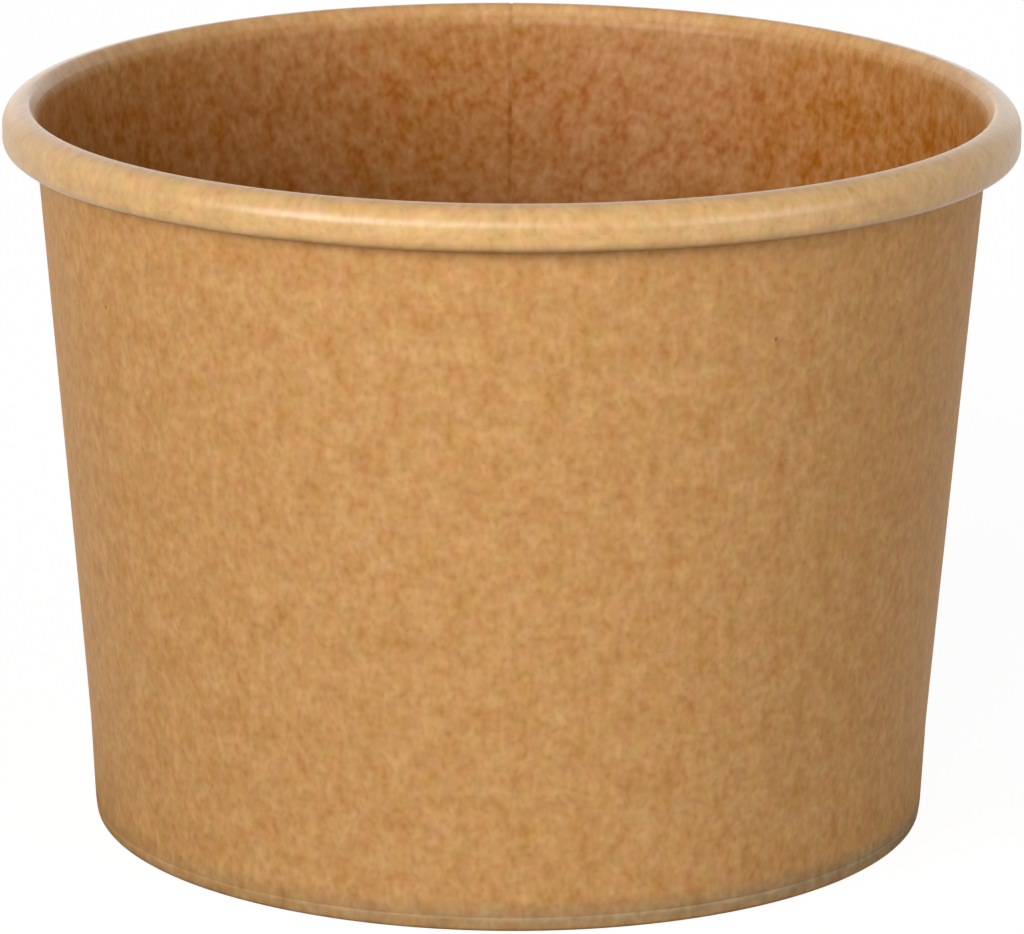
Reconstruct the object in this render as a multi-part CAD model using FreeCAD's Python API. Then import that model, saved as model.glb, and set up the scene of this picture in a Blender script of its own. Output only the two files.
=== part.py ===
import FreeCAD, Part
import cmath
import math
import os

# Paper soup cup of the 90 mm rim family: a cone of coated board closed by a glued lap at the back,
# its top edge rolled out into a rim, its bottom edge folded in and up round the skirt of a pressed
# base. Millimetres. The axis is Z, the foot stands on z = 0 and the lap is on +Y.

# Driving sizes of the cup
cup_height = 65.3  # foot to the top of the rim
rim_diameter = 90.0  # over the rolled rim
foot_diameter = 74.6  # over the wall at the foot crease
side_board = 0.40  # board of the side wall
base_board = 0.36  # board of the base

# Rolled rim; bends are measured along the middle of the board
rim_height = 3.9
rim_overhang = 2.95  # how far the rim stands out from the wall below it
rim_inner_bend = 0.45
rim_lower_bend = 0.7
tail_bend = 0.2  # where the rolled edge turns up beside the wall
curl_clearance = 0.08  # between the tail and the wall
tail_gap = 0.1  # from the tail's end up to the foot of the flare
flare_height = 1.5  # the mouth opens out over this height
flare_reach = 0.65  # beyond the wall carried on straight

# Foot ring, folded edge and base
ring_height = 9.0  # where the wall bends into the steeper foot ring
ring_taper = 3.0  # degrees off vertical
crease_height = 1.4  # where the foot starts to turn in
foot_bevel = 14.0  # degrees off vertical, below the crease
fold_bend = 0.2  # both corners of the folded foot
base_drop = 0.5  # base's upper face below the wall's bend
base_bend = 1.0  # where the base turns down into its skirt
seal_gap = 0.02  # bond line on each side of the skirt
skirt_clearance = 0.2  # skirt's edge above the crease
tuck_clearance = 1.5  # tucked edge below the base's bend

# Glued lap
lap_width = 7.0
lap_ramp = 1.0  # run in which the outer ply climbs over the inner ply's edge
lap_embed = 0.1  # how deep the lap ply is merged into the wall

bend_chord = 0.75  # each face of a bend is drawn in chords of about this length

# Radii, slopes and levels that follow
rim_radius = rim_diameter / 2
neck_level = cup_height - rim_height
neck_radius = rim_radius - rim_overhang
crease_radius = foot_diameter / 2
ring_slope = math.tan(math.radians(ring_taper))
ring_radius = crease_radius + (ring_height - crease_height) * ring_slope
wall_slope = (neck_radius - ring_radius) / (neck_level - ring_height)
bevel_slope = math.tan(math.radians(foot_bevel))
base_top = ring_height - base_drop
flare_foot = cup_height - flare_height
half_side = side_board / 2
half_base = base_board / 2


def ring_radius_at(level):
    # outer face of the steeper foot ring, carried on straight past its ends
    return crease_radius + (level - crease_height) * ring_slope


def wall_radius_at(level):
    # outer face of the single wall, below and above its bend
    if level < ring_height:
        return ring_radius_at(level)
    return ring_radius + (level - ring_height) * wall_slope


def board_face(corners, bends, offset):
    # one face of a bent board, this far to the left of its middle line; a spot is radius + level * 1j
    ways = [(end - start) / abs(end - start) for start, end in zip(corners, corners[1:])]
    spots = [corners[0] + ways[0] * 1j * offset]
    for corner, bend, way_in, way_out in zip(corners[1:], bends, ways, ways[1:]):
        turn = cmath.phase(way_out / way_in)
        side = math.copysign(1, turn)
        radius = bend - side * offset
        chords = round(radius * abs(turn) / bend_chord)
        if chords < 1:
            spots.append(corner + way_in * 1j * offset * cmath.exp(0.5j * turn) / math.cos(turn / 2))
            continue
        centre = corner + way_in * bend * complex(-math.tan(abs(turn) / 2), side)
        for step in range(chords + 1):
            spots.append(centre - way_in * 1j * side * radius * cmath.exp(1j * turn * step / chords))
    return spots + [corners[-1] + ways[-1] * 1j * offset]


def turned_board(corners, bends, board):
    # a board of even thickness along the middle line, turned about the cup's axis
    left = board_face(corners, bends, board / 2)
    loop = left + board_face(corners, bends, -board / 2)[::-1]
    loop = [spot for spot, last in zip(loop, loop[-1:] + loop) if abs(spot - last) > 0.001]
    outline = [FreeCAD.Vector(spot.real, 0, spot.imag) for spot in loop]
    section = Part.Face(Part.makePolygon(outline + outline[:1]))
    return section.revolve(FreeCAD.Vector(0, 0, 0), FreeCAD.Vector(0, 0, 1), 360)


def foot_corners():
    # from the tucked edge inside the skirt, round the fold and out to the crease
    stack = half_side + seal_gap + base_board + seal_gap + half_side
    tuck_top = base_top - base_bend - tuck_clearance
    tuck_radius = ring_radius_at(tuck_top) - half_side - stack
    fold_inner = ring_radius_at(half_side) - half_side - stack
    fold_outer = crease_radius - (crease_height - half_side) * bevel_slope - half_side
    return [
        complex(tuck_radius, tuck_top),
        complex(fold_inner, half_side),
        complex(fold_outer, half_side),
        complex(crease_radius - half_side, crease_height),
    ]


def rim_corners():
    # up the flare, over the top, down the outside, back under and up beside the wall
    top = cup_height - half_side
    underside = neck_level + half_side
    tail_top = flare_foot - tail_gap
    tail_offset = curl_clearance + half_side
    return [
        complex(wall_radius_at(flare_foot) - half_side, flare_foot),
        complex(wall_radius_at(top) + flare_reach - half_side, top),
        complex(rim_radius - half_side, top),
        complex(rim_radius - half_side, underside),
        complex(wall_radius_at(underside) + tail_offset, underside),
        complex(wall_radius_at(tail_top) + tail_offset, tail_top),
    ]


def turned_wall():
    # the rim's shoulder takes all the width that its inner bend leaves
    rim = rim_corners()
    lean = cmath.phase(rim[1] - rim[0])
    shoulder_bend = (rim[2] - rim[1]).real - rim_inner_bend * math.tan(lean / 2)
    bends = [fold_bend, fold_bend, 0, 0, 0, rim_inner_bend, shoulder_bend, rim_lower_bend, tail_bend]
    wall_bend = complex(ring_radius - half_side, ring_height)
    return turned_board(foot_corners() + [wall_bend] + rim, bends, side_board)


def lap_point(radius, arc_length, level):
    # a point that lies an arc length from the inner ply's edge, which is on +Y; the lap is on +X
    angle = math.pi / 2 - arc_length / wall_radius_at(level)
    return FreeCAD.Vector(radius * math.cos(angle), radius * math.sin(angle), level)


def lap_outline(level):
    # the outer ply over the lap: a step at its cut edge and a ramp up over the inner ply's edge
    outer = wall_radius_at(level) + side_board
    root = wall_radius_at(level) - lap_embed
    ramp_foot = -lap_ramp * (1 + lap_embed / side_board)
    step = Part.makeLine(lap_point(root, lap_width, level), lap_point(outer, lap_width, level))
    ply = [lap_point(outer, arc, level) for arc in (lap_width, lap_width / 2, 0)]
    ramp = Part.makeLine(lap_point(outer, 0, level), lap_point(root, ramp_foot, level))
    middle = (ramp_foot + lap_width) / 2
    inside = [lap_point(root, arc, level) for arc in (ramp_foot, middle, lap_width)]
    return Part.Wire([step, Part.Arc(*ply).toShape(), ramp, Part.Arc(*inside).toShape()])


def groove_outline(level):
    # the wedge left inside the cup, where the outer ply leaves the inner face to climb the edge
    inner = wall_radius_at(level) - side_board
    mouth = inner - lap_embed
    edge = lap_point(mouth, 0, level)
    bottom = lap_point(inner + side_board, 0, level)
    far = lap_point(mouth, -lap_ramp * (1 + lap_embed / side_board), level)
    return Part.makePolygon([edge, bottom, far, edge])


def side_wall():
    ply_levels = [crease_height, ring_height, neck_level - curl_clearance]
    lap_ply = Part.makeLoft([lap_outline(level) for level in ply_levels], True, True)
    groove_levels = [base_top, ring_height, flare_foot]
    groove = Part.makeLoft([groove_outline(level) for level in groove_levels], True, True)
    return turned_wall().fuse(lap_ply).cut(groove)


def base_disc():
    # a flat disc turned down at its edge into a skirt that lines the foot ring
    middle_level = base_top - half_base
    skirt_bottom = crease_height + skirt_clearance
    inset = side_board + seal_gap + half_base
    corners = [
        complex(0, middle_level),
        complex(ring_radius_at(middle_level) - inset, middle_level),
        complex(ring_radius_at(skirt_bottom) - inset, skirt_bottom),
    ]
    return turned_board(corners, [base_bend], base_board)


os.makedirs("parts", exist_ok=True)
side_wall().exportStep("parts/side_wall.step")
base_disc().exportStep("parts/base_disc.step")
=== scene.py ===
import math

import bpy
import numpy as np
from mathutils import Matrix, Vector


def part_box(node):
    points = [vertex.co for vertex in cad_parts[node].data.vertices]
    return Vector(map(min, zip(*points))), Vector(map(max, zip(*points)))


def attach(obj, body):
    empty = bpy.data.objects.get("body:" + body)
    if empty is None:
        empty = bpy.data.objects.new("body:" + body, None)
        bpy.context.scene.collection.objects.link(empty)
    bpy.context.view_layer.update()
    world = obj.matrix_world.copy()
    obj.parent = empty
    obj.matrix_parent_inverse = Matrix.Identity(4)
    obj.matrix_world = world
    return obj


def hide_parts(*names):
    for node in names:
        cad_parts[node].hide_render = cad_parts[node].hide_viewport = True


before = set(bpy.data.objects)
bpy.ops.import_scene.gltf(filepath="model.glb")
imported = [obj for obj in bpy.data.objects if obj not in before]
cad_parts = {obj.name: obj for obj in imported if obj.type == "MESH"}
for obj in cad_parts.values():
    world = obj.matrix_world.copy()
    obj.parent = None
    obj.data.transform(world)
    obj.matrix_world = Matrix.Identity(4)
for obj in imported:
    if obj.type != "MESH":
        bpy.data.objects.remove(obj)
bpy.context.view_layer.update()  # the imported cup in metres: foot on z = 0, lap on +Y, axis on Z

mm = 0.001
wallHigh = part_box("side_wall")[1] / mm
baseLow, baseHigh = (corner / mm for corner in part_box("base_disc"))
cupHeight = wallHigh.z
rimRadius = wallHigh.x
fullTurn = 2 * math.pi
print("frame loaded: cup", round(2 * rimRadius, 1), "x", round(cupHeight, 1), "mm")


def linear(hexColour):  # sRGB hex to the linear colour a shader takes
    parts = [int(hexColour[i : i + 2], 16) / 255 for i in (0, 2, 4)]
    return [p / 12.92 if p <= 0.04045 else ((p + 0.055) / 1.055) ** 2.4 for p in parts] + [1]


def smooth(low, high, value):  # 0 at low, 1 at high, eased at both ends
    share = np.clip((value - low) / (high - low), 0, 1)
    return share * share * (3 - 2 * share)


def ripple(angles, seed, count, fewest, most):  # uneven waves round the cup, within -1 to 1
    draw = np.random.default_rng(seed)
    total = sum(
        draw.uniform(0.4, 1) * np.sin(draw.integers(fewest, most + 1) * angles + draw.uniform(0, fullTurn))
        for _ in range(count)
    )
    return total / count


def addNode(tree, kind, settings=None, links=None):
    # a node with its settings, on sockets by number or name or else on the node itself, and with
    # what feeds it: a socket, or another node's first output
    node = tree.nodes.new("ShaderNode" + kind)
    for name, value in (settings or {}).items():
        if isinstance(name, int) or name in node.inputs:
            node.inputs[name].default_value = value
        else:
            setattr(node, name, value)
    for name, source in (links or {}).items():
        tree.links.new(getattr(source, "outputs", [source])[0], node.inputs[name])
    return node


# Kraft board. Brown unbleached fibres pressed into a sheet: a warm tan ground, mottled a little
# darker and paler in short soft flecks and faint clouds, with a few dark fibres and rare specks of
# bark. Sizes are in mm on the flat blank. Real fibres are 0.03 mm wide, too fine to show, so the
# flecks are tufts of them, drawn up to thirty times as coarse.
kraft = {
    "mottle": "5c5442",  # how far the palest fleck lies above the ground and the darkest below it
    "toneRange": (0.2, 0.8),  # tones of the darkest and the palest fleck
    "darkFibre": "8a5a22",
    "darkFrom": (0.34, 0.18),  # tones of the fine layer where dark fibres start and are fullest
    "darkMost": 0.09,
    "tint": (0.10, 0.13, 0.20),  # how far red, green and blue drift from swirl to swirl
    "curl": 1.6,  # size of the swirls that bend the flecks
    "curlBy": 0.3,
    "fibreStretch": 1.25,  # flecks are this much longer than wide
    "flecks": {"size": 0.95, "octaves": 1.2, "share": 0.53},
    "fines": {"size": 0.50, "octaves": 0.0, "share": 0.13},
    "clouds": {"size": 2.6, "octaves": 0.6, "share": 0.34},
    "bark": "5c3a1c",
    "speckSpacing": 13.0,
    "speckChance": 0.6,  # share of the cells that stay bare
    "speckRadius": 0.016,  # of the largest speck, as a share of the spacing; so is the soft edge
    "speckEdge": 0.008,
    "speckMost": 0.6,
    "roughFrom": (0.3, 0.7),  # tones between which the roughness goes from low to high
    "roughSpread": 0.04,
    "relief": 0.006,  # height of the tufts
}


def kraftMaterial(name, finish):
    # a Map Range's sockets 1 to 4 are where it starts and ends, and what it gives there
    material = bpy.data.materials.new(name)
    material.use_nodes = True
    tree = material.node_tree
    shader = tree.nodes["Principled BSDF"]
    ease = {"interpolation_type": "SMOOTHSTEP"}
    mixed = {"data_type": "RGBA"}

    # fibres lie along the blank and curl a little
    blank = addNode(tree, "Attribute", {"attribute_name": "blank"}).outputs["Vector"]
    squeeze = {"operation": "MULTIPLY", 1: (1, 1 / kraft["fibreStretch"], 1)}
    along = addNode(tree, "VectorMath", squeeze, {0: blank})
    swirls = {"noise_dimensions": "2D", "Scale": 1 / kraft["curl"], "Detail": 0.0}
    swirl = addNode(tree, "TexNoise", swirls, {"Vector": along}).outputs["Color"]
    bend = {"operation": "MULTIPLY_ADD", 1: (kraft["curlBy"],) * 3}
    curled = addNode(tree, "VectorMath", bend, {0: swirl, 2: along})

    # tone is about 0.5 on the bare ground, lower on dark flecks and higher on pale ones
    tone = addNode(tree, "Value")
    tone.outputs[0].default_value = 0.0
    for layer in (kraft["flecks"], kraft["clouds"], kraft["fines"]):
        look = {"noise_dimensions": "2D", "Scale": 1 / layer["size"], "Detail": layer["octaves"]}
        noise = addNode(tree, "TexNoise", look, {"Vector": curled})
        share = {"operation": "MULTIPLY_ADD", 1: layer["share"]}
        tone = addNode(tree, "Math", share, {0: noise, 2: tone})

    # the ground turns towards its second tone, which is partly painted highlight, shade and sheen,
    # then drifts a little in colour and takes its flecks and its dark fibres
    wearAndPaintedLight = addNode(tree, "Attribute", {"attribute_name": "wearAndPaintedLight"}).outputs["Fac"]
    grounds = {**mixed, 6: linear(finish["ground"]), 7: linear(finish["wearAndPaintedLight"])}
    ground = addNode(tree, "Mix", grounds, {0: wearAndPaintedLight}).outputs[2]
    least = tuple(1 - drift / 2 for drift in kraft["tint"])
    drifting = {"operation": "MULTIPLY_ADD", 1: kraft["tint"], 2: least}
    tint = addNode(tree, "VectorMath", drifting, {0: swirl})
    ground = addNode(tree, "VectorMath", {"operation": "MULTIPLY"}, {0: ground, 1: tint})
    darkest, palest = kraft["toneRange"]
    shift = addNode(tree, "MapRange", {1: darkest, 2: palest, 3: -1.0, 4: 1.0}, {0: tone})
    added = {"operation": "MULTIPLY_ADD", 1: linear(kraft["mottle"])[:3]}
    mottled = addNode(tree, "VectorMath", added, {0: shift, 2: ground})
    start, full = kraft["darkFrom"]
    darkening = {**ease, 1: start, 2: full, 3: 0.0, 4: kraft["darkMost"]}
    dark = addNode(tree, "MapRange", darkening, {0: noise})
    fibres = {**mixed, 7: linear(kraft["darkFibre"])}
    colour = addNode(tree, "Mix", fibres, {0: dark, 6: mottled}).outputs[2]

    # bark specks: small uneven dots in a few of the cells
    cells = {"voronoi_dimensions": "2D", "Scale": 1 / kraft["speckSpacing"]}
    specks = addNode(tree, "TexVoronoi", cells, {"Vector": curled})
    chance = addNode(tree, "SeparateXYZ", links={0: specks.outputs["Color"]})
    sizes = {1: kraft["speckChance"], 2: 1.0, 3: 0.0, 4: kraft["speckRadius"]}
    radius = addNode(tree, "MapRange", sizes, {0: chance})
    away = specks.outputs["Distance"]
    inside = addNode(tree, "Math", {"operation": "SUBTRACT"}, {0: radius, 1: away})
    strength = {**ease, 1: 0.0, 2: kraft["speckEdge"], 3: 0.0, 4: kraft["speckMost"]}
    bark = addNode(tree, "MapRange", strength, {0: inside})
    barked = {**mixed, 7: linear(kraft["bark"])}
    colour = addNode(tree, "Mix", barked, {0: bark, 6: colour}).outputs[2]
    tree.links.new(colour, shader.inputs["Base Color"])

    low, high = kraft["roughFrom"]
    spread = kraft["roughSpread"]
    uneven = {1: low, 2: high, 3: finish["roughness"] - spread, 4: finish["roughness"] + spread}
    roughness = addNode(tree, "MapRange", uneven, {0: tone}).outputs[0]
    tree.links.new(roughness, shader.inputs["Roughness"])
    shader.inputs["IOR"].default_value = 1.5
    shader.inputs["Specular IOR Level"].default_value = finish["specular"]
    shader.inputs["Coat Weight"].default_value = finish["film"]
    shader.inputs["Coat Roughness"].default_value = finish["filmRoughness"]
    grain = {"noise_dimensions": "2D", "Scale": 1 / kraft["flecks"]["size"], "Detail": 0.0}
    height = addNode(tree, "TexNoise", grain, {"Vector": along})
    bump = {"Strength": finish["relief"], "Distance": kraft["relief"] * mm}
    relief = addNode(tree, "Bump", bump, {"Height": height}).outputs[0]
    tree.links.new(relief, shader.inputs["Normal"])
    return material


# Cut edge of the board: no film, only fibre ends, so it looks paler, matt and grainy. The grain
# is four times as coarse as the fibres.
cutFibres = {
    "dark": "b98b57",
    "pale": "d9b385",
    "grain": 0.12,
    "roughness": 0.75,
    "relief": 0.03,
    "reliefShare": 0.6,
}


def cutEdgeMaterial():
    material = bpy.data.materials.new("kraftCutEdge")
    material.use_nodes = True
    tree = material.node_tree
    shader = tree.nodes["Principled BSDF"]
    place = addNode(tree, "TexCoord").outputs["Object"]
    fibres = {"Scale": 1 / (cutFibres["grain"] * mm), "Detail": 2.0, "Roughness": 0.6}
    grain = addNode(tree, "TexNoise", fibres, {"Vector": place}).outputs[0]
    tones = {"data_type": "RGBA", 6: linear(cutFibres["dark"]), 7: linear(cutFibres["pale"])}
    colour = addNode(tree, "Mix", tones, {0: grain}).outputs[2]
    tree.links.new(colour, shader.inputs["Base Color"])
    shader.inputs["Roughness"].default_value = cutFibres["roughness"]
    bump = {"Strength": cutFibres["reliefShare"], "Distance": cutFibres["relief"] * mm}
    relief = addNode(tree, "Bump", bump, {"Height": grain}).outputs[0]
    tree.links.new(relief, shader.inputs["Normal"])
    return material


# What the making leaves on the board: film is a clear coat, and relief the share of the board's
# own that still shows. The second tone of each is partly painted light, as each one says.
finishes = {
    # barrier film inside the cup: it deepens the board's brown and gives a faint even sheen; its
    # ground is also set darker as painted shade for the inside, and its pale second tone near the
    # rim is stretched film and painted highlight
    "kraftFilmInside": {
        "ground": "a5692e",
        "wearAndPaintedLight": "d8a96c",
        "roughness": 0.46,
        "specular": 0.30,
        "film": 0.06,
        "filmRoughness": 0.35,
        "relief": 0.5,
    },
    # the same film, stretched pale over the rim and burnished as it was rolled: a satin sheen that
    # whitens where the rim turns away; the pale second tone is also painted highlight for the light
    # the rim catches
    "kraftRolledRim": {
        "ground": "a5692e",
        "wearAndPaintedLight": "d8a96c",
        "roughness": 0.40,
        "specular": 0.40,
        "film": 0.45,
        "filmRoughness": 0.30,
        "relief": 0.4,
    },
    # bare board outside: nearly matt, with a dull veil at low angles; its greyer second tone is
    # painted shade and sheen along the foot's crease
    "kraftSatinOutside": {
        "ground": "cb965b",
        "wearAndPaintedLight": "ae9068",
        "roughness": 0.58,
        "specular": 0.26,
        "film": 0.0,
        "filmRoughness": 0.40,
        "relief": 0.6,
    },
    # strip under the foot's crease, pressed smooth as it was folded: a little glossier; its greyer
    # second tone is painted shade and sheen along the crease
    "kraftPressedFoot": {
        "ground": "cb965b",
        "wearAndPaintedLight": "ae9068",
        "roughness": 0.40,
        "specular": 0.40,
        "film": 0.20,
        "filmRoughness": 0.25,
        "relief": 0.4,
    },
}
boardMaterials = [kraftMaterial(name, finish) for name, finish in finishes.items()]
boardMaterials.append(cutEdgeMaterial())
filmInside, rolledRim, satinOutside, pressedFoot, cutEdge = range(len(boardMaterials))
print("materials made")


def bentLine(corners, bends, runSteps, bendSteps):
    # middle line of a bent board in section, as radius + level * 1j: its points, and the unit
    # normals on the left of its way
    ways = [(end - start) / abs(end - start) for start, end in zip(corners, corners[1:])]
    spots, normals = [], []
    entry = corners[0]
    for i, way in enumerate(ways):
        last = i == len(ways) - 1
        turn = 0 if last else np.angle(ways[i + 1] / way)
        reach = 0 if last else bends[i] * np.tan(abs(turn) / 2)
        leave = corners[i + 1] - way * reach
        for step in range(runSteps[i] + last):
            spots.append(entry + (leave - entry) * step / runSteps[i])
            normals.append(way * 1j)
        if last:
            break
        inward = way * 1j * np.sign(turn)
        for step in range(bendSteps[i]):
            spin = np.exp(1j * turn * step / bendSteps[i])
            spots.append(leave + inward * bends[i] * (1 - spin))
            normals.append(way * 1j * spin)
        entry = corners[i + 1] + ways[i + 1] * reach
    return np.array(spots), np.array(normals)


def gridFaces(rows, columns, first, flip, closed):
    # quads over a grid of points numbered row by row, whose rows may close on themselves
    faces = []
    for i in range(rows - 1):
        for j in range(columns - (not closed)):
            a, b = first + i * columns + j, first + i * columns + (j + 1) % columns
            quad = (a, b, b + columns, a + columns)
            faces.append(quad[::-1] if flip else quad)
    return faces


otherFace = 400  # mm from a sheet's left face to its right one in the board's pattern
sharpFrom = 50  # degrees between faces that meet in a sharp edge


def boardObject(name, leftGrid, rightGrid, blank, wearAndPaintedLight, leftSlots, rightSlots, closed=False):
    # sheet of board from its two faces, each a grid of points with a material for each row. A
    # closed sheet goes all the way round and is capped at its middle; any other has four cut edges.
    rows, columns = leftGrid.shape[:2]
    count = rows * columns  # a point of the right face is this far on from the left one's
    faces = gridFaces(rows, columns, 0, False, closed) + gridFaces(rows, columns, count, True, closed)
    across = columns - (not closed)
    slots = [slot for slot in [*leftSlots, *rightSlots] for _ in range(across)]
    if closed:
        faces += [tuple(range(columns))[::-1], tuple(range(count, count + columns))]
        slots += [leftSlots[0], rightSlots[0]]
    else:
        for i in range(rows - 1):  # cut edges at the first and last column, then at the first row
            a, b = i * columns, (i + 1) * columns
            faces.append((b, b + count, a + count, a))
            a, b = a + columns - 1, b + columns - 1
            faces.append((a + count, b + count, b, a))
        faces += [(j + count, j + 1 + count, j + 1, j) for j in range(across)]
    last = (rows - 1) * columns
    for j in range(across):  # cut edge at the last row
        a, b = last + j, last + (j + 1) % columns
        faces.append((b, b + count, a + count, a))
    slots += [cutEdge] * (len(faces) - len(slots))
    points = np.concatenate([leftGrid.reshape(-1, 3), rightGrid.reshape(-1, 3)]) * mm
    mesh = bpy.data.meshes.new(name)
    mesh.from_pydata(points.tolist(), [], faces)
    for material in boardMaterials:
        mesh.materials.append(material)
    mesh.polygons.foreach_set("material_index", np.array(slots, dtype=np.int32))
    flat = blank.reshape(-1, 3)
    places = np.concatenate([flat, flat + [otherFace, 0, 0]])
    attribute = mesh.attributes.new("blank", "FLOAT_VECTOR", "POINT")
    attribute.data.foreach_set("vector", places.astype(np.float32).ravel())
    # share of the second tone at each point: stretched film, painted highlight, painted shade and painted
    # sheen
    attribute = mesh.attributes.new("wearAndPaintedLight", "FLOAT", "POINT")
    attribute.data.foreach_set("value", np.concatenate(wearAndPaintedLight, axis=None).astype(np.float32))
    mesh.shade_smooth()
    mesh.set_sharp_from_angle(angle=math.radians(sharpFrom))
    mesh.validate()
    piece = bpy.data.objects.new(name, mesh)
    bpy.context.scene.collection.objects.link(piece)
    return piece


# Side wall: one blank of board, rolled into a cone, lapped on +Y, its top edge rolled out and
# its bottom edge folded in and up. Millimetres.
wall = {
    "board": 0.40,
    "glue": 0.01,
    "rimHeight": 3.9,
    "rimOverhang": 2.95,
    "flareHeight": 1.5,
    "flareReach": 0.65,
    "flareBend": 2.0,
    "rimInnerBend": 0.35,
    "rimLowerBend": 0.75,
    "tailBend": 0.24,
    "curlClearance": 0.08,
    "tailGap": 0.1,
    "ringHeight": 9.0,
    "ringTaper": 3.0,  # degrees
    "ringBend": 5.0,
    "creaseHeight": 1.4,
    "creaseRadius": 37.3,
    "creaseDrop": 0.05,  # the crease lies this much lower, and tilts up towards creaseWay
    "creaseTilt": 0.10,
    "creaseWay": 120,  # degrees round from the lap
    "creaseBend": 4.0,
    "creaseDepth": 0.045,
    "footBevel": 8.0,  # degrees
    "foldBend": 0.26,
    "footBend": 0.45,
    "tuckTop": 6.0,
    "pocket": 0.40,  # room for the base's skirt
    "lapWidth": 7.0,
    "lapEase": 1.8,  # over which the single wall leaves the lap
    "lapRamp": 0.45,  # over which the outer ply climbs onto the inner one
    "skive": 1.5,  # over which the inner ply thins to its cut edge
    "skiveTo": 0.3,  # share of the board's thickness that is left there
    "rimPress": 0.5,  # share of it that the lap's plies keep in the rolled rim
    "pressFrom": (0.8, 2.6),  # along the board from the neck
    "sway": 0.08,
    "swayFrom": (2.0, 20.0),  # levels
    "rimSway": 0.08,
    "rimSwayFrom": 45,
    "rimOval": 0.15,
    "lipWave": 0.06,
    "lipTilt": 0.12,
    "lipOval": 0.24,
    "lipLift": 0.03,
    "knurl": 0.05,
    "knurls": 118,
    "knurlEnd": (3.2, 4.6),  # along the board from the tucked edge
    # tones along the board: stretched film with painted highlight over the flare, painted shade in the
    # rim's inner bend, painted shade and sheen along the crease
    "wearAndPaintedLightBands": {
        "stretchAndHighlight": (-1.0, 3.0),  # along the board from the flare: starts to pale, and is palest; stretched film and painted highlight
        "bendShade": 0.3,  # painted shade: this much less pale in the rim's inner bend, at the front and back
        "bendLow": (1.2, 1.6),  # along the board too: where that shade comes in, and where it goes
        "bendHigh": (2.4, 2.0),
        "shadeAndSheenLow": (-1.15, -0.8),  # levels round the crease: where the painted shade and sheen starts, and is full
        "shadeAndSheenHigh": (0.30, -0.05),
    },
    # rows of faces along the board, in its straight runs and in the bends between them
    "runSteps": {
        "tuck": 4, "fold": 1, "bevel": 2, "ring": 5, "cone": 12,
        "flare": 2, "rimTop": 1, "rimSide": 2, "rimUnder": 2, "tail": 2,
    },
    "bendSteps": {
        "fold": 5, "foot": 6, "crease": 5, "ring": 3, "flare": 5,
        "rimInner": 8, "rimOuter": 14, "rimLower": 8, "tail": 3,
    },
    # stations of the section round the cup: from, to and how many in the runs near the lap, where
    # they stand closer, and elsewhere only how many
    "stations": {
        "pastInnerEdge": [(0, 2, 9), (2, 6.5, 8), (6.5, 9.5, 9)],
        "single": 436,
        "ramp": (-1.6, 0.4, 22),
        "outerPly": 13,
        "clear": 100,  # one that is well clear of the lap
        "radius": 40,  # at which millimetres past a whole turn are turned to an angle
    },
}
halfBoard = wall["board"] / 2
neckLevel = cupHeight - wall["rimHeight"]
neckRadius = rimRadius - wall["rimOverhang"]
ringSlope = math.tan(math.radians(wall["ringTaper"]))
ringRadius = wall["creaseRadius"] + (wall["ringHeight"] - wall["creaseHeight"]) * ringSlope
wallSlope = (neckRadius - ringRadius) / (neckLevel - wall["ringHeight"])


def wallRadiusAt(level):  # outer face of the single wall
    ring = wall["creaseRadius"] + (level - wall["creaseHeight"]) * ringSlope
    cone = ringRadius + (level - wall["ringHeight"]) * wallSlope
    return np.where(np.asarray(level) < wall["ringHeight"], ring, cone)


def wallStations():
    # where the section stands round the cup, from the inner ply's edge to the outer's: in whole
    # turns and in millimetres past them
    stations = wall["stations"]
    runs = stations["pastInnerEdge"]
    start = np.concatenate([np.linspace(*run, endpoint=False) for run in runs])
    singleFrom, singleTo = runs[-1][1], stations["ramp"][0]
    middle = np.linspace(0, 1, stations["single"], endpoint=False)
    ramp = np.linspace(*stations["ramp"], endpoint=False)
    overLap = np.linspace(stations["ramp"][1], wall["lapWidth"], stations["outerPly"])
    end = np.concatenate([ramp, overLap])
    turns = np.concatenate([np.zeros(len(start)), middle, np.ones(len(end))])
    past = np.concatenate([start, singleFrom * (1 - middle) + singleTo * middle, end])
    return turns, past


wallRuns = list(wall["runSteps"].values())
wallBends = list(wall["bendSteps"].values())


def firstRow(run):  # row at which a straight run of the wall's section starts
    before = list(wall["runSteps"]).index(run)
    return sum(wallRuns[:before]) + sum(wallBends[:before])


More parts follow.
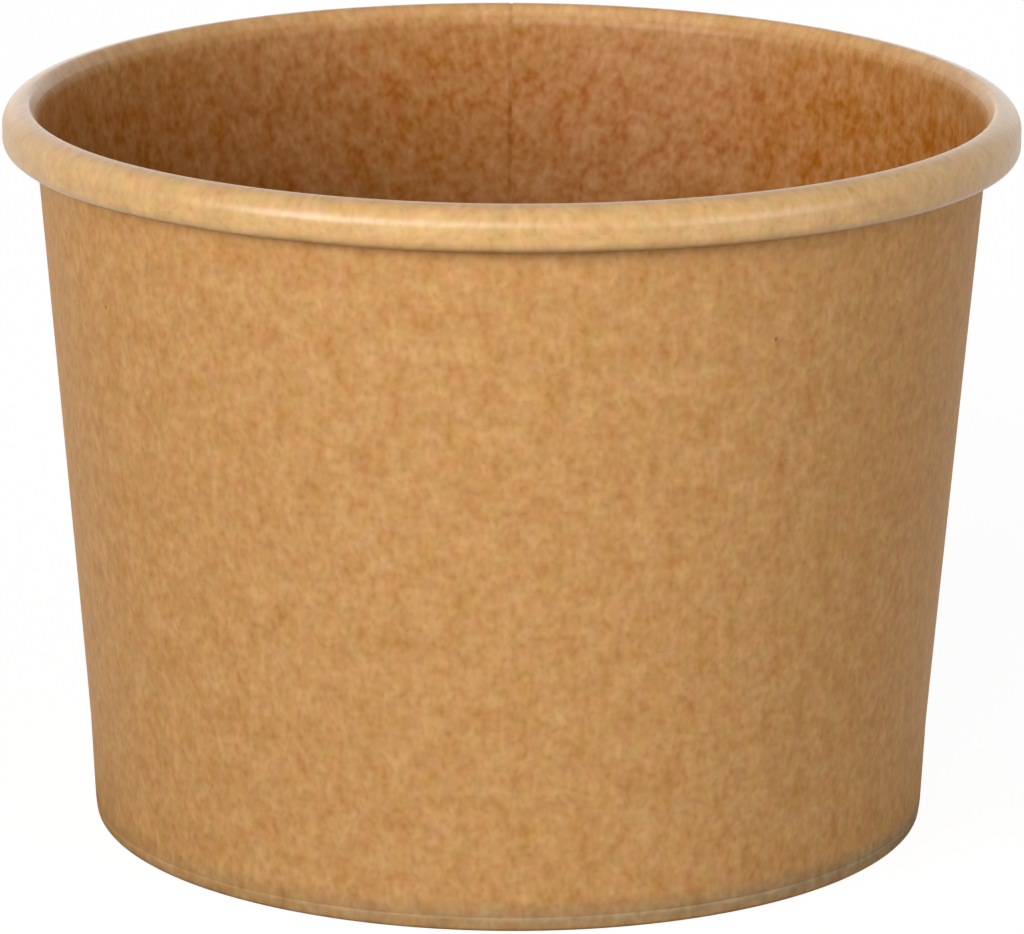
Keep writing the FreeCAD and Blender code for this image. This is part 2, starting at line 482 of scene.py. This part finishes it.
def wallSection(around, lift, push, lipDrop):
    # middle line for every station: tuck, fold, ring, cone, flare, rolled rim and tail
    stack = halfBoard + wall["pocket"] + halfBoard
    top = cupHeight - halfBoard
    underside = neckLevel + halfBoard
    flareFoot = cupHeight - wall["flareHeight"]
    tailTop = flareFoot - wall["tailGap"]
    fold = halfBoard + lift
    bevel = math.tan(math.radians(wall["footBevel"]))
    tilt = wall["creaseTilt"] * np.cos(around - math.radians(wall["creaseWay"]))
    crease = wall["creaseHeight"] - wall["creaseDrop"] + tilt
    corners = [
        wallRadiusAt(wall["tuckTop"]) - halfBoard - stack + wall["tuckTop"] * 1j,
        wallRadiusAt(halfBoard) - halfBoard - stack + fold * 1j,
        wallRadiusAt(crease) - (crease - halfBoard) * bevel - halfBoard + fold * 1j,
        wallRadiusAt(crease) - halfBoard + crease * 1j,
        ringRadius - halfBoard + wall["ringHeight"] * 1j,
        wallRadiusAt(flareFoot) - halfBoard + flareFoot * 1j,
        wallRadiusAt(top) - halfBoard + wall["flareReach"] + top * 1j,
        rimRadius - halfBoard + top * 1j,
        rimRadius - halfBoard + (underside - lipDrop) * 1j,
        wallRadiusAt(underside) + wall["curlClearance"] + halfBoard + push + (underside - lipDrop) * 1j,
        wallRadiusAt(tailTop) + wall["curlClearance"] + halfBoard + push + tailTop * 1j,
    ]
    corners = [corner + 0 * around for corner in corners]  # one for each station
    lean = np.angle(corners[6] - corners[5])
    # the rim's outer bend takes all of its top but a hair, which keeps the two bends apart
    shoulder = (corners[7] - corners[6]).real - wall["rimInnerBend"] * np.tan(lean / 2)
    bends = [wall["foldBend"], wall["footBend"], wall["creaseBend"], wall["ringBend"], wall["flareBend"]]
    bends += [wall["rimInnerBend"], shoulder - 0.01, wall["rimLowerBend"], wall["tailBend"]]
    return bentLine(corners, bends, wallRuns, wallBends)


def placed(section, angle):  # section points turned to their places round the axis
    return np.stack([section.real * np.sin(angle), section.real * np.cos(angle), section.imag], -1)


def lapShares(turns, past):
    # at each station, how far the outer ply has climbed, how far the board is double, and how
    # much of the inner ply is left as it thins to its cut edge
    inner = (1 - smooth(wall["lapWidth"], wall["lapWidth"] + wall["lapEase"], past)) * (turns == 0)
    climb = smooth(-wall["lapRamp"], 0, past) * (turns == 1)
    edge = wall["skiveTo"] + (1 - wall["skiveTo"]) * smooth(0, wall["skive"], past)
    return climb, np.maximum(inner, climb), edge


def onBlank(runLength, neck, angle):  # where points lie on the flat blank, a fan about the cone's apex
    cone = math.sin(math.atan(wallSlope))
    apex = neckRadius / cone
    reach = apex + runLength[:, None] - neck
    spread = (angle - math.pi) * cone
    return np.stack([reach * np.sin(spread), reach * np.cos(spread) - apex, 0 * angle], -1)


def wallTones(line, runLength, flareRow, around, aside):
    # inside, the board pales over the flare, stretched and with painted highlight, and the rim's inner
    # bend takes painted shade; outside, the crease takes painted shade and sheen
    wearAndPaintedLightBands = wall["wearAndPaintedLightBands"]
    overFlare = runLength - runLength[flareRow]
    inBend = smooth(*wearAndPaintedLightBands["bendLow"], overFlare) * smooth(*wearAndPaintedLightBands["bendHigh"], overFlare)
    paintedShade = 1 - wearAndPaintedLightBands["bendShade"] * inBend[:, None] * (1 - aside)
    paleAndHighlight = smooth(*wearAndPaintedLightBands["stretchAndHighlight"], overFlare)[:, None] * paintedShade
    overCrease = line.imag - line[firstRow("ring") - 1].imag
    creaseShadeAndSheen = smooth(*wearAndPaintedLightBands["shadeAndSheenLow"], overCrease) * smooth(*wearAndPaintedLightBands["shadeAndSheenHigh"], overCrease)
    # the painted shade and sheen is fullest towards creaseWay and fades round the other side
    creaseShadeAndSheen = creaseShadeAndSheen * (0.5 + 0.5 * np.cos(around - math.radians(wall["creaseWay"])))
    return paleAndHighlight, creaseShadeAndSheen


def sideWall():
    turns, past = wallStations()
    around = turns * fullTurn + past / wall["stations"]["radius"]
    aside = np.sin(around) ** 2  # 1 at both sides, 0 at the front and back
    climb, double, edge = lapShares(turns, past)
    board, glue = wall["board"], wall["glue"]
    lip = ripple(around, seed=5, count=9, fewest=7, most=24) * wall["lipWave"] - wall["lipLift"]
    lip = lip + wall["lipTilt"] * np.sin(around) + wall["lipOval"] * aside
    line, normal = wallSection(around, (board + glue) * double * edge, board * double, lip)
    level = np.clip(line.imag, wall["creaseHeight"], neckLevel)
    angle = turns * fullTurn + past / wallRadiusAt(level)
    single = line[:, wall["stations"]["clear"]]
    runLength = np.cumsum(np.abs(np.diff(single, prepend=single[0])))
    neck = runLength[np.argmax(single.imag > neckLevel)]

    # the board's two faces: thinner where it is skived or pressed, and stepped out by a ply where
    # it lies on the lap
    pressLow, pressHigh = (neck + along for along in wall["pressFrom"])
    onRim = smooth(pressLow, pressHigh, runLength)[:, None]
    press = 1 - (1 - wall["rimPress"]) * onRim
    thick = board * (1 - (1 - press) * double) * np.where(turns == 0, edge, 1)
    step = (board + glue) * press * climb * edge
    knurl = wall["knurl"] * (0.5 + 0.5 * np.sin(wall["knurls"] * angle))
    onTuck = 1 - smooth(*wall["knurlEnd"], runLength)[:, None]
    creaseSteps = wall["bendSteps"]["crease"]
    creaseRow = np.arange(len(line)) - (firstRow("ring") - creaseSteps)
    groove = np.sin(np.pi * np.clip(creaseRow / creaseSteps, 0, 1))[:, None]
    sway = wall["sway"] * (ripple(angle, seed=3, count=5, fewest=2, most=6) - 1) / 2
    sway = sway * smooth(*wall["swayFrom"], line.imag)
    dip = wall["rimSway"] * (ripple(angle, seed=8, count=5, fewest=2, most=7) - 1) / 2
    dip = (dip - wall["rimOval"] * aside) * smooth(wall["rimSwayFrom"], cupHeight, line.imag)
    middle = line + sway + dip * 1j
    left = middle + normal * (halfBoard - step)
    inset = halfBoard - step - thick + knurl * onTuck + wall["creaseDepth"] * groove
    right = middle + normal * inset
    grids = placed(left, angle), placed(right, angle)

    flareRow = firstRow("flare") - wall["bendSteps"]["flare"]
    # share of the second tone: stretch with painted highlight, painted shade and painted sheen
    tones = wallTones(line, runLength, flareRow, around, aside)
    strips = np.arange(len(line) - 1)
    leftSlots = np.where(strips < firstRow("flare"), filmInside, rolledRim)
    footFrom = firstRow("bevel") - wall["bendSteps"]["foot"]
    footTo = firstRow("ring") - creaseSteps // 2  # about the middle of the crease
    onFoot = (strips >= footFrom) & (strips < footTo)
    rightSlots = np.where(onFoot, pressedFoot, satinOutside)
    blank = onBlank(runLength, neck, angle)
    return boardObject("cupWall", *grids, blank, tones, leftSlots, rightSlots)


cupWall = sideWall()
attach(cupWall, "root")
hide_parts("side_wall")
print("side wall made:", len(cupWall.data.polygons), "faces")


# Base: a disc turned down into a skirt, sagging a little in the middle. Millimetres.
base = {
    "board": 0.36,
    "clearance": 0.02,
    "bend": 1.0,
    "hub": 0.3,  # radius of the flat cap in the middle
    "sag": 0.2,
    "stations": 300,
    "runSteps": [24, 6],  # across the disc and down the skirt
    "bendSteps": [10],
    "patternPlace": 800,  # clear of the wall's blank in the board's pattern
}


def baseDisc():
    thin = base["board"] / 2  # half of its thickness
    inset = wall["board"] + base["clearance"] + thin
    angle = np.arange(base["stations"]) * fullTurn / base["stations"]
    top, low = baseHigh.z, baseLow.z
    corners = [base["hub"], wallRadiusAt(top - thin) - inset, wallRadiusAt(low) - inset]
    corners = [corner + level * 1j for corner, level in zip(corners, (top - thin, top - thin, low))]
    corners = [corner + 0 * angle for corner in corners]
    line, normal = bentLine(corners, [base["bend"]], base["runSteps"], base["bendSteps"])
    radius = line.real
    flatEdge = corners[1].real - 2 * base["bend"]
    line = line - 1j * base["sag"] * (1 - smooth(0, 1, radius / flatEdge))
    runLength = np.cumsum(np.abs(np.diff(line[:, 0], prepend=line[0, 0])))[:, None]
    flat = base["patternPlace"] + runLength * np.sin(angle), runLength * np.cos(angle)
    allZero = 0 * radius
    blank = np.stack([*flat, allZero], -1)
    strips = np.zeros(len(line) - 1, int)
    slots = strips + filmInside, strips + satinOutside
    grids = placed(line + normal * thin, angle), placed(line - normal * thin, angle)
    return boardObject("cupBase", *grids, blank, (allZero, allZero), *slots, closed=True)


cupBase = baseDisc()
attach(cupBase, "root")
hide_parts("base_disc")
print("base made:", len(cupBase.data.polygons), "faces")


# Studio: a wide pale floor and a faint even surround. Two keys stand at the front left and the
# front and aim high, so that they fall off down the wall; a softer fill stands at the right, and
# behind the cup a low fill lights its back and a faint one puts a sheen along the rim.
# Metres, watts and degrees; a light aims at the height "aim" over the middle of the foot.
studio = {
    "surround": 0.08,  # strength of the light from all round
    "floor": "666665",
    "floorSize": 12.0,
    "floorSeen": 0.94,  # the floor's least level for the camera
    "floorGlow": 0.85,  # and for reflections, away from the foot
    "contact": (36.0, 60.0),  # mm from the axis over which that glow comes up, out of a painted shadow round the foot
    "lights": {
        "leftKey": {
            "place": (-0.631, -0.631, 0.355), "size": (0.60, 0.40), "power": 0.74,
            "aim": 0.17, "spread": 50, "glint": True,
        },
        "frontKey": {
            "place": (-0.150, -0.848, 0.432), "size": (0.60, 0.40), "power": 0.45,
            "aim": 0.17, "spread": 50, "glint": True,
        },
        "fill": {
            "place": (0.735, -0.574, 0.21), "size": (0.80, 0.40), "power": 0.94,
            "aim": 0.12, "spread": 90, "glint": True,
        },
        "backFill": {
            "place": (0.0, 0.75, 0.07), "size": (0.80, 0.12), "power": 0.50,
            "aim": 0.03, "spread": 90, "glint": False,
        },
        "backSheen": {
            "place": (0.0, 0.80, 0.18), "size": (0.80, 0.32), "power": 0.16,
            "aim": 0.03, "spread": 90, "glint": True,
        },
    },
}


def seenRays(tree):  # 1 for rays that show the background: camera, glossy and transmission
    path = addNode(tree, "LightPath").outputs
    most = {"operation": "MAXIMUM"}
    seen = addNode(tree, "Math", most, {0: path["Is Camera Ray"], 1: path["Is Glossy Ray"]})
    return addNode(tree, "Math", most, {0: seen, 1: path["Is Transmission Ray"]}).outputs[0]


def makeFloor():
    side = studio["floorSize"] / 2
    corners = [(-side, -side, 0), (side, -side, 0), (side, side, 0), (-side, side, 0)]
    mesh = bpy.data.meshes.new("floor")
    mesh.from_pydata(corners, [], [(0, 1, 2, 3)])
    floor = bpy.data.objects.new("floor", mesh)
    bpy.context.scene.collection.objects.link(floor)
    paint = bpy.data.materials.new("paleFloor")
    paint.use_nodes = True
    tree = paint.node_tree
    tree.nodes.remove(tree.nodes["Principled BSDF"])
    diffuse = addNode(tree, "BsdfDiffuse", {"Color": linear(studio["floor"])}).outputs[0]
    # the floor adds a glow for rays that show it; in reflections the glow is dimmed close round the
    # foot, a painted shadow where the cup shades it
    place = addNode(tree, "TexCoord").outputs["Object"]
    away = addNode(tree, "VectorMath", {"operation": "LENGTH"}, {0: place}).outputs["Value"]
    near, far = (reach * mm for reach in studio["contact"])
    paintedShade = {"interpolation_type": "SMOOTHSTEP", 1: near, 2: far, 3: 0.0, 4: studio["floorGlow"]}
    shaded = addNode(tree, "MapRange", paintedShade, {0: away})
    cameraRay = addNode(tree, "LightPath").outputs["Is Camera Ray"]
    plain = addNode(tree, "Math", {"operation": "MULTIPLY", 1: studio["floorSeen"]}, {0: cameraRay})
    level = addNode(tree, "Math", {"operation": "MAXIMUM"}, {0: plain, 1: shaded})
    glow = addNode(tree, "Emission", links={"Strength": level}).outputs[0]
    both = addNode(tree, "AddShader", links={0: diffuse, 1: glow}).outputs[0]
    pick = addNode(tree, "MixShader", links={0: seenRays(tree), 1: diffuse, 2: both}).outputs[0]
    tree.links.new(pick, tree.nodes["Material Output"].inputs["Surface"])
    mesh.materials.append(paint)


def makeSurround():
    world = bpy.data.worlds.new("surround")
    bpy.context.scene.world = world
    world.use_nodes = True
    tree = world.node_tree
    levels = {3: studio["surround"], 4: 1.0}
    strength = addNode(tree, "MapRange", levels, {0: seenRays(tree)}).outputs[0]
    background = tree.nodes["Background"]
    background.inputs["Color"].default_value = (1, 1, 1, 1)
    tree.links.new(strength, background.inputs["Strength"])


def makeLight(name, look):
    light = bpy.data.lights.new(name, "AREA")
    light.shape = "RECTANGLE"
    light.size, light.size_y = look["size"]
    light.energy = look["power"]
    light.spread = math.radians(look["spread"])
    lamp = bpy.data.objects.new(name, light)
    bpy.context.scene.collection.objects.link(lamp)
    lamp.location = look["place"]
    lamp.visible_camera = False
    lamp.visible_glossy = look["glint"]
    aim = Vector((0, 0, look["aim"])) - lamp.location
    lamp.rotation_euler = aim.to_track_quat("-Z", "Y").to_euler()


makeFloor()
makeSurround()
for name, look in studio["lights"].items():
    makeLight(name, look)
print("studio made")


# Camera: a long lens from a little above. Millimetres and degrees.
camera = {
    "distance": 629.3,
    "height": 14.74,
    "roll": 0.33,
    "lens": 247.1,
    "sensor": 36,
    "aimDrop": 1.23,
    "aside": 0.19,
}


def makeCamera():
    height, roll = math.radians(camera["height"]), math.radians(camera["roll"])
    middle = Vector((camera["aside"], 0, cupHeight / 2))
    eye = middle + camera["distance"] * Vector((0, -math.cos(height), math.sin(height)))
    forward = (middle - Vector((0, 0, camera["aimDrop"])) - eye).normalized()
    right = forward.cross(Vector((0, 0, 1))).normalized()
    up = right.cross(forward)
    turnedRight = right * math.cos(roll) + up * math.sin(roll)
    turnedUp = up * math.cos(roll) - right * math.sin(roll)
    lens = bpy.data.cameras.new("camera")
    lens.lens = camera["lens"]
    lens.sensor_width = camera["sensor"]
    lens.clip_start = 0.01  # metres
    lens.clip_end = 50
    view = bpy.data.objects.new("camera", lens)
    bpy.context.scene.collection.objects.link(view)
    axes = Matrix((turnedRight, turnedUp, -forward)).transposed().to_4x4()
    view.matrix_world = Matrix.Translation(eye * mm) @ axes
    bpy.context.scene.camera = view


makeCamera()
bpy.context.scene.view_settings.view_transform = "Standard"

print("scene ready")
